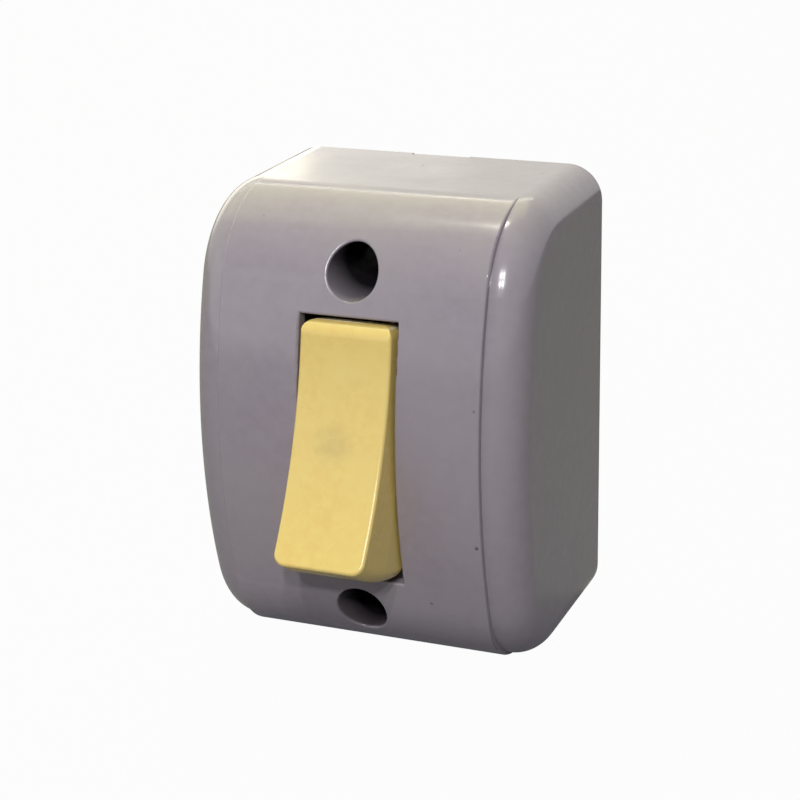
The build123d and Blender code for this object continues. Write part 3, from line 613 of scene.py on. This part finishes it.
def buildSpringTree(sizes, form, material):
    tree, given, ids = newTree("coilSpring", sizes)
    spine = addNode(tree, "GeometryNodeCurvePrimitiveBezierSegment", {"mode": "POSITION"}, {
        "Resolution": form["spineSteps"], "Start": given["Top"], "Start Handle": given["Below Top"],
        "End Handle": given["Above Foot"], "End": given["Foot"]})
    wire = addNode(tree, "GeometryNodeResampleCurve", inputs={
        "Curve": addNode(tree, "GeometryNodeCurvePrimitiveLine"), "Count": given["Points"]})
    # each point's share of the whole wire, and where that lies along the spine
    lastPoint = addNode(tree, "ShaderNodeMath", {"operation": "SUBTRACT"}, {0: given["Points"], 1: 1.0})
    part = addNode(tree, "ShaderNodeMath", {"operation": "DIVIDE"}, {
        0: addNode(tree, "GeometryNodeInputIndex"), 1: lastPoint})
    length = addNode(tree, "ShaderNodeMath", {"operation": "SUBTRACT"}, {
        0: given["Wound To"], 1: given["Wound From"]})
    share = addNode(tree, "ShaderNodeMath", {"operation": "MULTIPLY_ADD"}, {
        0: part, 1: length, 2: given["Wound From"]})
    angle = addNode(tree, "ShaderNodeMath", {"operation": "MULTIPLY"}, {0: share, 1: 2 * pi})
    swing = addNode(tree, "ShaderNodeMath", {"operation": "SINE"}, {0: angle})
    winding = addNode(tree, "ShaderNodeMath", {"operation": "DIVIDE"}, {0: given["End Winding"], 1: 2 * pi})
    closing = addNode(tree, "ShaderNodeMath", {"operation": "MULTIPLY"}, {0: winding, 1: swing})
    place = addNode(tree, "ShaderNodeMath", {"operation": "SUBTRACT"}, {0: share, 1: closing})
    onSpine = addNode(tree, "GeometryNodeSampleCurve", {"mode": "FACTOR"}, {
        "Curves": spine, "Factor": place})
    # round the spine
    turn = addNode(tree, "ShaderNodeMath", {"operation": "MULTIPLY"}, {0: angle, 1: given["Turns"]})
    level = addNode(tree, "ShaderNodeMath", {"operation": "MULTIPLY"}, {
        0: given["Radius"], 1: addNode(tree, "ShaderNodeMath", {"operation": "COSINE"}, {0: turn})})
    out = addNode(tree, "ShaderNodeMath", {"operation": "MULTIPLY"}, {
        0: given["Radius"], 1: addNode(tree, "ShaderNodeMath", {"operation": "SINE"}, {0: turn})})
    outward = addNode(tree, "ShaderNodeVectorMath", {"operation": "CROSS_PRODUCT"}, {
        0: onSpine.outputs["Tangent"], 1: (1, 0, 0)})
    sideways = addNode(tree, "ShaderNodeCombineXYZ", inputs={"X": level})
    away = addNode(tree, "ShaderNodeVectorMath", {"operation": "SCALE"}, {0: outward, "Scale": out})
    ring = addNode(tree, "ShaderNodeVectorMath", {"operation": "ADD"}, {0: sideways, 1: away})
    spot = addNode(tree, "ShaderNodeVectorMath", {"operation": "ADD"}, {
        0: onSpine.outputs["Position"], 1: ring})
    coil = addNode(tree, "GeometryNodeSetPosition", inputs={"Geometry": wire, "Position": spot})
    section = addNode(tree, "GeometryNodeCurvePrimitiveCircle", inputs={
        "Resolution": form["wireFacets"], "Radius": given["Wire Radius"]})
    drawn = addNode(tree, "GeometryNodeCurveToMesh", inputs={
        "Curve": coil, "Profile Curve": section, "Fill Caps": True})
    endTree(tree, addNode(tree, "GeometryNodeSetShadeSmooth", inputs={"Geometry": drawn}), material)
    return tree, ids


# each length's share of the wire, its two bodies, and where it leaves the first for the second
springLengths = {
    "coilSpring": (0.0, rockerSpring["meeting"], "rocker", "case",
                   springTop, springFoot + nibWay * rockerSpring["stillHigh"]),
    "coilSpringFoot": (rockerSpring["meeting"], 1.0, "case", "contact_bar",
                       springFoot + nibWay * rockerSpring["stillLow"],
                       springFoot + nibWay * rockerSpring["nibTop"]),
}
for name, (woundFrom, woundTo, upper, lower, start, end) in springLengths.items():
    steps = round((woundTo - woundFrom) * rockerSpring["turns"] * rockerSpring["stepsPerTurn"])
    sizes = {**springSizes, "Wound From": woundFrom, "Wound To": woundTo, "Points": steps + 1}
    tree, ids = buildSpringTree(sizes, rockerSpring, finishes["springWire"])
    spring = growMesh(name, tree, ids, sizes, finishes["springWire"])
    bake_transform(spring)
    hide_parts("rocker_spring")
    print(name, "made,", len(spring.data.polygons), "faces")

# Floor, pale and wide, level with the bottom of the housing. The camera sees it nearly
# white, gloss sees it partly white, and it keeps the object's shadow
stageFloor = {
    "size": 8.0,
    "colour": "#7e7f85",
    "white": "#ffffff",
    "whiteToCamera": 0.97,
    "whiteInGloss": 0.06,
}
bpy.ops.mesh.primitive_plane_add(size=stageFloor["size"], location=(0, 0, cadBounds[0].z))
floor = bpy.context.object
floor.name = "floor"
floorMaterial, tree = newMaterial("paleFloor")
light = addNode(tree, "ShaderNodeLightPath")
clear = addNode(tree, "ShaderNodeMath", {"operation": "MAXIMUM"}, {
    0: light.outputs["Is Camera Ray"], 1: light.outputs["Is Transmission Ray"]})
seen = addNode(tree, "ShaderNodeMath", {"operation": "MULTIPLY"}, {
    0: clear, 1: stageFloor["whiteToCamera"]})
share = addNode(tree, "ShaderNodeMath", {"operation": "MULTIPLY_ADD", "use_clamp": True}, {
    0: light.outputs["Is Glossy Ray"], 1: stageFloor["whiteInGloss"], 2: seen})
matt = addNode(tree, "ShaderNodeBsdfDiffuse", inputs={"Color": toLinear(stageFloor["colour"])})
white = addNode(tree, "ShaderNodeEmission", inputs={"Color": toLinear(stageFloor["white"])})
mixed = addNode(tree, "ShaderNodeMixShader", inputs={0: share, 1: matt, 2: white})
addNode(tree, "ShaderNodeOutputMaterial", inputs={"Surface": mixed})
floor.data.materials.append(floorMaterial)

# World: white where it is seen straight, through glass or in gloss, and a dim room otherwise
studioWorld = {
    "room": 0.18,
    "roomColour": "#f1f0ff",
    "backdrop": 1.0,
    "backdropColour": "#ffffff",
}
world = bpy.data.worlds.new("studio")
scene.world = world
world.use_nodes = True
tree = world.node_tree
tree.nodes.clear()
light = addNode(tree, "ShaderNodeLightPath")
seen = addNode(tree, "ShaderNodeMath", {"operation": "MAXIMUM"}, {
    0: light.outputs["Is Camera Ray"], 1: light.outputs["Is Transmission Ray"]})
seenOrGloss = addNode(tree, "ShaderNodeMath", {"operation": "MAXIMUM"}, {
    0: seen, 1: light.outputs["Is Glossy Ray"]})
room = addNode(tree, "ShaderNodeBackground", inputs={
    "Color": toLinear(studioWorld["roomColour"]), "Strength": studioWorld["room"]})
backdrop = addNode(tree, "ShaderNodeBackground", inputs={
    "Color": toLinear(studioWorld["backdropColour"]), "Strength": studioWorld["backdrop"]})
mixed = addNode(tree, "ShaderNodeMixShader", inputs={0: seenOrGloss, 1: room, 2: backdrop})
addNode(tree, "ShaderNodeOutputWorld", inputs={"Surface": mixed})

# Lamps, each aimed at the housing. The key is four small lamps side by side, which leave a
# cluster of small highlights. The ceiling lights the top without a reflection of its own, and
# the skylight leaves a faint one
lamps = {
    "ceiling": {
        "place": (-0.36, 0.36, 0.74), "size": (1.05, 0.78), "watts": 6.4, "colour": "#fcfdcb",
        "inGloss": False},
    "skylight": {"place": (-0.36, 0.36, 0.75), "size": (1.05, 0.78), "watts": 2.9, "colour": "#fcfdb8"},
    "keyUpperLeft": {
        "place": (0.105, -0.615, 0.525), "size": (0.022, 0.022), "watts": 1.17, "colour": "#fffdff"},
    "keyUpperRight": {
        "place": (0.215, -0.580, 0.510), "size": (0.018, 0.018), "watts": 0.96, "colour": "#fffdff"},
    "keyLowerLeft": {
        "place": (0.115, -0.675, 0.405), "size": (0.018, 0.018), "watts": 1.00, "colour": "#fffdff"},
    "keyLowerRight": {
        "place": (0.225, -0.635, 0.395), "size": (0.024, 0.024), "watts": 1.15, "colour": "#fffdff"},
    "window": {"place": (-0.71, 0.70, 0.22), "size": (0.70, 0.32), "watts": 1.2, "colour": "#fff8dc"},
    "fill": {"place": (-0.55, -0.50, 0.16), "size": (0.70, 0.36), "watts": 0.60, "colour": "#f6f4ff"},
    "sash": {"place": (-0.470, 0.981, 0.208), "size": (0.205, 0.16), "watts": 0.07, "colour": "#fffdf0"},
    "tube": {"place": (-0.50, 0.96, 0.66), "size": (0.9, 0.03), "watts": 0.6, "colour": "#fffdf2"},
    "bulb": {"place": (-0.17, 0.11, 0.74), "size": (0.08, 0.06), "watts": 0.9, "colour": "#fffdf2"},
}
aim = Vector((0, -0.02, 0))  # inside the housing
for name, values in lamps.items():
    data = bpy.data.lights.new(name, "AREA")
    data.shape = "RECTANGLE"
    data.size, data.size_y = values["size"]
    data.energy = values["watts"]
    data.color = toLinear(values["colour"])[:3]
    lamp = bpy.data.objects.new(name, data)
    scene.collection.objects.link(lamp)
    lamp.location = values["place"]
    lamp.rotation_euler = (aim - lamp.location).to_track_quat("-Z", "Y").to_euler()
    lamp.visible_camera = False
    lamp.visible_glossy = values.get("inGloss", True)

# Camera, solved from the photograph's outlines
cameraFit = {
    "place": Vector((110.436, -288.447, 104.384)) * mm,
    "right": Vector((0.92793903, 0.37217737, -0.02032625)),
    "up": Vector((-0.10621306, 0.3163026, 0.94269372)),
    "lens": 94.445,
    "sensor": 36,
    "nearest": 0.01,
}
cameraBack = cameraFit["right"].cross(cameraFit["up"])
cameraData = bpy.data.cameras.new("camera")
cameraData.sensor_width = cameraFit["sensor"]
cameraData.lens = cameraFit["lens"]
cameraData.clip_start = cameraFit["nearest"]
camera = bpy.data.objects.new("camera", cameraData)
scene.collection.objects.link(camera)
camera.matrix_world = Matrix.Translation(cameraFit["place"]) @ Matrix(
    (cameraFit["right"], cameraFit["up"], cameraBack)).transposed().to_4x4()
scene.camera = camera
scene.view_settings.view_transform = "Standard"
print("stage, lamps and camera in place")
